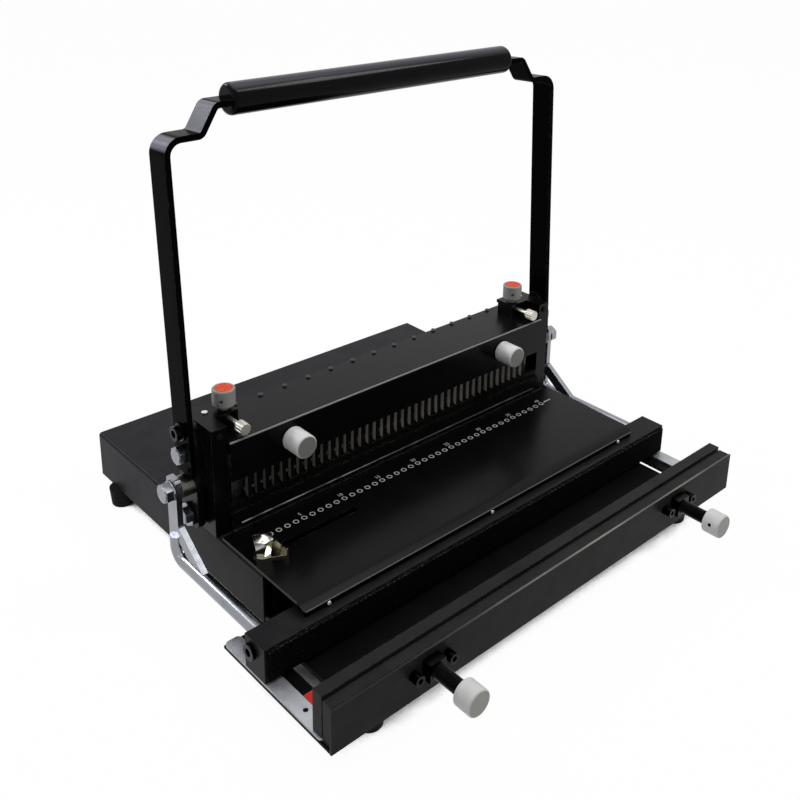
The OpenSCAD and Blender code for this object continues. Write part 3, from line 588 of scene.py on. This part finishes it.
def floor_material():
    """White to the eye and to reflections, with the dark shadow kept under the machine."""
    mat = bpy.data.materials.new("floor")
    mat.use_nodes = True
    tree = mat.node_tree
    tree.nodes.clear()
    lit = tree.nodes.new("ShaderNodeBsdfDiffuse")
    lit.inputs["Color"].default_value = FLOOR_PALE
    glow = tree.nodes.new("ShaderNodeEmission")
    glow.inputs["Color"].default_value = WHITE
    share = tree.nodes.new("ShaderNodeMath")
    share.operation = "MULTIPLY"
    mix = tree.nodes.new("ShaderNodeMixShader")
    out = tree.nodes.new("ShaderNodeOutputMaterial")
    tree.links.new(seen_ray(tree), share.inputs[0])
    tree.links.new(open_floor(tree), share.inputs[1])
    tree.links.new(share.outputs[0], mix.inputs["Fac"])
    tree.links.new(lit.outputs[0], mix.inputs[1])
    tree.links.new(glow.outputs[0], mix.inputs[2])
    tree.links.new(mix.outputs[0], out.inputs["Surface"])
    return mat


def floor():
    """A wide square just under the feet."""
    mesh = bpy.data.meshes.new("floor")
    h = FLOOR_HALF_WIDTH
    mesh.from_pydata([(-h, -h, 0), (h, -h, 0), (h, h, 0), (-h, h, 0)], [], [(0, 1, 2, 3)])
    mesh.materials.append(floor_material())
    obj = bpy.data.objects.new("floor", mesh)
    bpy.context.scene.collection.objects.link(obj)
    obj.location.z = -FLOOR_DROP


def world():
    """White to the eye and to reflections, dimmer as a light."""
    made = bpy.data.worlds.new("studio")
    made.use_nodes = True
    tree = made.node_tree
    back = tree.nodes["Background"]
    back.inputs["Color"].default_value = WHITE
    level = tree.nodes.new("ShaderNodeMapRange")
    level.inputs["To Min"].default_value = WORLD_LIGHT
    level.inputs["To Max"].default_value = 1.0
    tree.links.new(seen_ray(tree), level.inputs["Value"])
    tree.links.new(level.outputs["Result"], back.inputs["Strength"])
    bpy.context.scene.world = made


def lamp(name, at, size, watts, aim=MACHINE, color=(1, 1, 1)):
    """A soft rectangular lamp that points at a place."""
    data = bpy.data.lights.new(name, "AREA")
    data.color = color
    data.shape = "RECTANGLE"
    data.size, data.size_y = size
    data.energy = watts
    obj = bpy.data.objects.new(name, data)
    obj.location = at
    obj.rotation_euler = (Vector(aim) - Vector(at)).to_track_quat("-Z", "Y").to_euler()
    bpy.context.scene.collection.objects.link(obj)


floor()
world()
lamp("top_box", at=(0.1, 0.1, 1.9), size=(1.6, 1.6), watts=16)
lamp("key_box", at=(0.95, -0.65, 1.6), size=(0.5, 0.5), watts=10)
lamp("left_box", at=(-1.7, 0.3, 1.1), size=(0.8, 1.2), watts=2, color=(0.86, 0.82, 1.0))
lamp("back_box", at=(-0.68, 1.33, 1.05), size=(0.45, 0.35), watts=9, aim=(-0.17, 0.05, 0.4),
     color=(0.94, 0.96, 1.0))
bpy.context.scene.view_settings.view_transform = "Standard"


# Tools for pieces made in mesh code

def carry(obj, body):
    """Puts a piece into the scene, on a body."""
    bpy.context.scene.collection.objects.link(obj)
    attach(obj, body)


def mesh_piece(name, mesh, body, mat):
    """A piece from a finished mesh."""
    obj = bpy.data.objects.new(name, mesh)
    mesh.materials.append(mat)
    carry(obj, body)
    return obj


def bridge(made, loops):
    """Side faces from each closed loop of corners to the next."""
    for a, b in zip(loops, loops[1:]):
        for k in range(len(a)):
            after = (k + 1) % len(a)
            made.faces.new((a[k], a[after], b[after], b[k]))


def close_ends(made, loops):
    """Faces over the first and the last loop."""
    made.faces.new(loops[0])
    made.faces.new(loops[-1])


def to_mesh(made, name):
    """Turns the faces outwards and closes the work mesh."""
    bmesh.ops.recalc_face_normals(made, faces=made.faces)
    mesh = bpy.data.meshes.new(name)
    made.to_mesh(mesh)
    made.free()
    return mesh


def angles(steps):
    """Equal steps around a circle."""
    return [2 * math.pi * k / steps for k in range(steps)]


# Printed hole row on the table

TABLE_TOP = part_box("table_plate")[1].z
PITCH = 25.4 / 3 * MM
HOLES = 40
ROW_Y = -8.1 * MM
INK = 0.04 * MM
RING = {"outer": 2.6 * MM, "inner": 1.75 * MM, "steps": 32}
END_LINE = {"length": 10 * MM, "width": 1.5 * MM, "past_ring": 9.5 * MM, "behind": 0.6 * MM}
NUMBER = {"every": 5, "size": 5.4 * MM, "behind": 4.6 * MM}


def hole_x(index):
    """The place of a punch hole along the row, from zero at the left."""
    return (index - (HOLES - 1) / 2) * PITCH


def ring_row(ink):
    """Flat printed rings, one over each punch hole, and a short line after the last."""
    made = bmesh.new()
    outer, inner = RING["outer"], RING["inner"]
    for i in range(HOLES):
        loops = []
        for r, z in ((outer, 0.0), (outer, INK), (inner, INK), (inner, 0.0)):
            loops.append([made.verts.new((hole_x(i) + r * math.cos(turn),
                                          ROW_Y + r * math.sin(turn),
                                          TABLE_TOP + z)) for turn in angles(RING["steps"])])
        bridge(made, loops + loops[:1])
    at = Vector((hole_x(HOLES - 1) + END_LINE["past_ring"], ROW_Y + END_LINE["behind"],
                 TABLE_TOP + INK / 2))
    size = Matrix.Diagonal((END_LINE["length"], END_LINE["width"], INK, 1))
    bmesh.ops.create_cube(made, size=1.0, matrix=Matrix.Translation(at) @ size)
    mesh_piece("hole_rings", to_mesh(made, "hole_rings"), "frame", ink)


def number(value, ink):
    """A plain printed number behind its ring."""
    curve = bpy.data.curves.new("number_%d" % value, "FONT")
    curve.body = str(value)
    curve.size = NUMBER["size"]
    curve.align_x = "CENTER"
    curve.extrude = INK / 2
    curve.materials.append(ink)
    obj = bpy.data.objects.new("number_%d" % value, curve)
    obj.location = (hole_x(value - 1), ROW_Y + NUMBER["behind"], TABLE_TOP + INK / 2)
    carry(obj, "frame")


ink = white_ink(fresh=(0.46, 0.46, 0.45), worn=(0.22, 0.22, 0.21))
ring_row(ink)
for value in range(NUMBER["every"], HOLES + 1, NUMBER["every"]):
    number(value, ink)


# Middle screw of the table's lip

LIP_SCREW = {"radius": 1.6 * MM, "height": 1.0 * MM, "edge_mm": 0.3}


def lip_screw():
    """A small head, with the painted glint of the small screws, between the two screws of the CAD.
    """
    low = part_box("small_screws")[0]
    radius, height = LIP_SCREW["radius"], LIP_SCREW["height"]
    at = Matrix.Translation((0, low.y + height / 2, low.z + radius))
    made = bmesh.new()
    bmesh.ops.create_cone(made, cap_ends=True, segments=24, radius1=radius, radius2=radius,
                          depth=height, matrix=at @ Matrix.Rotation(math.pi / 2, 4, "X"))
    mesh = to_mesh(made, "lip_screw")
    head = mesh_piece("lip_screw", mesh, "frame", node_paint["small_screws"])
    soften(head, LIP_SCREW["edge_mm"])


lip_screw()


# Socket set screws in the sides of the adjuster knobs

SET_SCREW = {"radius": 1.45 * MM, "socket": 0.7 * MM, "steps": 24,
             "foot": -1.5 * MM, "top": 0.25 * MM, "floor": 0.06 * MM}
HEX_SIDE = math.pi / 3


def screw_corner(turn, height, hexagon):
    """A corner of the screw's round rim or of its six sided socket."""
    reach = SET_SCREW["radius"]
    if hexagon:
        reach = SET_SCREW["socket"] / math.cos(turn % HEX_SIDE - HEX_SIDE / 2)
    return Vector((reach * math.cos(turn), reach * math.sin(turn), SET_SCREW[height]))


def set_screw(name, node, body, angle_deg):
    """A screw end with a six sided socket, at an angle around the knob's axis."""
    low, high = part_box(node)
    angle = math.radians(angle_deg)
    outward = Vector((math.cos(angle), 0, math.sin(angle)))
    seat = (low + high) / 2 + outward * (high.x - low.x) / 2
    place = Matrix.Translation(seat) @ outward.to_track_quat("Z", "Y").to_matrix().to_4x4()
    made = bmesh.new()
    loops = []
    for height, hexagon in (("foot", False), ("top", False), ("top", True), ("floor", True)):
        loops.append([made.verts.new(place @ screw_corner(turn, height, hexagon))
                      for turn in angles(SET_SCREW["steps"])])
    bridge(made, loops)
    close_ends(made, loops)
    mesh_piece(name, to_mesh(made, name), body, materials["black_oxide"])


set_screw("left_set_screw", "adjuster_knob_left", "left_adjuster", angle_deg=344)
set_screw("right_set_screw", "adjuster_knob_right", "right_adjuster", angle_deg=164)


# Threaded adjuster spindles

THREAD = {"pitch": 1.75 * MM, "depth": 0.6 * MM, "around": 32, "rows_per_turn": 8}


def threaded_rod(name, node, body):
    """The round CAD spindle with a helical thread cut along its length."""
    low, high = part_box(node)
    centre = (low + high) / 2
    crest = (high.x - low.x) / 2
    length = high.y - low.y
    rows = int(length / THREAD["pitch"] * THREAD["rows_per_turn"])
    made = bmesh.new()
    rings = []
    for row in range(rows + 1):
        along = length * row / rows
        ring = []
        for turn in angles(THREAD["around"]):
            phase = (along / THREAD["pitch"] - turn / (2 * math.pi)) % 1.0
            radius = crest - THREAD["depth"] * abs(2 * phase - 1)
            ring.append(made.verts.new((centre.x + radius * math.cos(turn), low.y + along,
                                        centre.z + radius * math.sin(turn))))
        rings.append(ring)
    bridge(made, rings)
    close_ends(made, rings)
    piece = mesh_piece(name, to_mesh(made, name), body, materials["black_oxide"])
    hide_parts(node)


threaded_rod("left_thread", "adjuster_spindle_left", "left_adjuster")
threaded_rod("right_thread", "adjuster_spindle_right", "right_adjuster")
